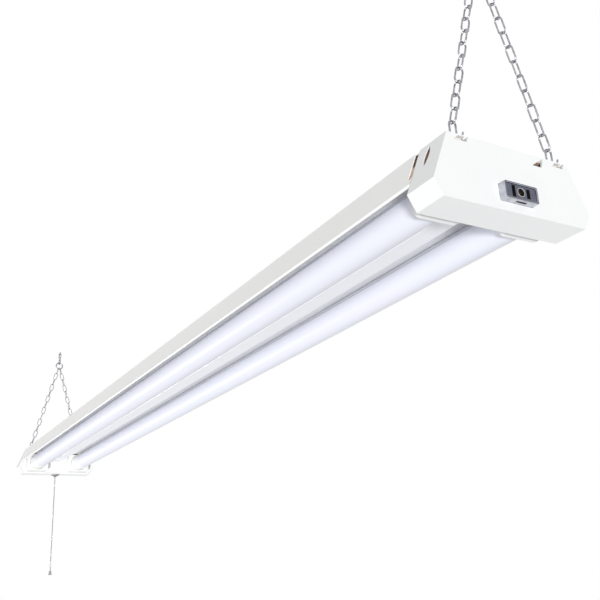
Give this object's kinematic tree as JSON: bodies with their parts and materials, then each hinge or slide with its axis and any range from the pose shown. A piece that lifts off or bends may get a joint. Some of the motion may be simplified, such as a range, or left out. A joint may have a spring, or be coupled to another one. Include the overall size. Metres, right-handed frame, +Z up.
{
  "type": "hanging shop light",
  "caption": "Hanging shop light: frosted LED tubes under a white folded-steel hood with plastic end caps, on V-shaped chains, with a link outlet and a pull-chain switch.",
  "frame": {"origin": "midway between the two S-hooks, at the height of the inner top of their upper eyes, where they rest on what they hang from", "axes": "+X along the light towards the outlet end, +Y across the light, +Z up"},
  "size_m": [1.2278, 0.136, 0.4144],
  "materials": {
    "housing_white": "satin",
    "reflector_white": "satin",
    "cap_white": "satin",
    "holder_white": "satin",
    "lens_frosted": "frosted",
    "ferrule_white": "satin",
    "aluminium": "satin",
    "board_white": "satin",
    "chip_yellow": "gloss",
    "pin_metal": "satin",
    "zinc_steel": "satin",
    "galvanised": "satin",
    "circuit_green": "satin",
    "component_black": "satin",
    "terminal_ivory": "satin",
    "wire_black": "satin",
    "wire_white": "satin",
    "wire_green": "satin",
    "wire_yellow": "satin",
    "wire_red": "satin",
    "outlet_silver": "polished",
    "outlet_grey": "satin",
    "bushing_black": "satin",
    "nickel": "polished"
  },
  "bodies": {
    "hooks": {"hook_outlet": "zinc_steel", "hook_switch": "zinc_steel"},
    "rings": {"ring_outlet": "zinc_steel", "ring_switch": "zinc_steel"},
    "outlet_chains": {"chain_outlet_left": "zinc_steel", "chain_outlet_right": "zinc_steel"},
    "switch_chains": {"chain_switch_left": "zinc_steel", "chain_switch_right": "zinc_steel"},
    "fixture": {"housing": "housing_white", "reflector": "reflector_white", "end_cap_outlet": "cap_white", "end_cap_switch": "cap_white", "end_plate_outlet": "cap_white", "end_plate_switch": "cap_white", "lampholder_outlet_left": "holder_white", "lampholder_outlet_right": "holder_white", "lampholder_switch_left": "holder_white", "lampholder_switch_right": "holder_white", "lampholder_contacts": "pin_metal", "tube_lens_left": "lens_frosted", "tube_lens_right": "lens_frosted", "tube_spine_left": "aluminium", "tube_spine_right": "aluminium", "led_board_left": "board_white", "led_board_right": "board_white", "led_chips_left": "chip_yellow", "led_chips_right": "chip_yellow", "tube_ferrules_left": "ferrule_white", "tube_ferrules_right": "ferrule_white", "tube_pins_left": "pin_metal", "tube_pins_right": "pin_metal", "driver_case": "galvanised", "driver_lid": "galvanised", "driver_board": "circuit_green", "driver_parts": "component_black", "driver_screws": "zinc_steel", "terminal_block": "terminal_ivory", "wire_live": "wire_black", "wire_neutral": "wire_white", "wire_earth": "wire_green", "switch_leads": "wire_black", "driver_leads": "wire_red", "lamp_leads": "wire_yellow", "earth_screw": "zinc_steel", "outlet_frame": "outlet_silver", "outlet_face": "outlet_grey", "outlet_contacts": "pin_metal", "cord_bushing": "bushing_black", "bushing_nut": "bushing_black", "switch_case": "component_black", "switch_nipple": "nickel", "switch_nut": "nickel", "hanging_bails": "zinc_steel"},
    "pull_rod": {"switch_plunger": "nickel", "switch_spring": "zinc_steel"},
    "pull_swivel": {"pull_bead": "nickel"},
    "bead_chain": {"pull_chain": "nickel", "pull_bell": "nickel"}
  },
  "joints": [
    {"name": "sway", "type": "hinge", "parent": "hooks", "child": "rings", "pos_m": [0, 0, -0.0218], "axis": [1, 0, 0], "range_deg": [-15, 15]},
    {"name": "outlet_chains_swing", "type": "hinge", "parent": "rings", "child": "outlet_chains", "pos_m": [0.605, 0, -0.03108], "axis": [0, 1, 0], "range_deg": [-12.5, 12.5]},
    {"name": "swing", "type": "hinge", "parent": "outlet_chains", "child": "fixture", "pos_m": [0.605, 0, -0.17588], "axis": [0, 1, 0], "range_deg": [-12, 12]},
    {"name": "switch_chains_swing", "type": "hinge", "parent": "rings", "child": "switch_chains", "pos_m": [-0.605, 0, -0.03108], "axis": [0, 1, 0], "range_deg": [-12.5, 12.5]},
    {"name": "pull_switch", "type": "slide", "parent": "fixture", "child": "pull_rod", "axis": [0, 0, -1], "range_m": [0, 0.005], "stiffness_N_per_m": 300, "springref_m": -0.004, "deforming": ["switch_spring"]},
    {"name": "pull_chain_sideways", "type": "hinge", "parent": "pull_rod", "child": "pull_swivel", "pos_m": [-0.5943, 0, -0.24123], "axis": [1, 0, 0], "range_deg": [-30, 30]},
    {"name": "pull_chain_lengthwise", "type": "hinge", "parent": "pull_swivel", "child": "bead_chain", "pos_m": [-0.5943, 0, -0.24123], "axis": [0, 1, 0], "range_deg": [-30, 30]}
  ],
  "couplings": [
    {"joint": "outlet_chains_swing", "follows": "swing", "ratio": -1},
    {"joint": "switch_chains_swing", "follows": "swing", "ratio": -1}
  ]
}
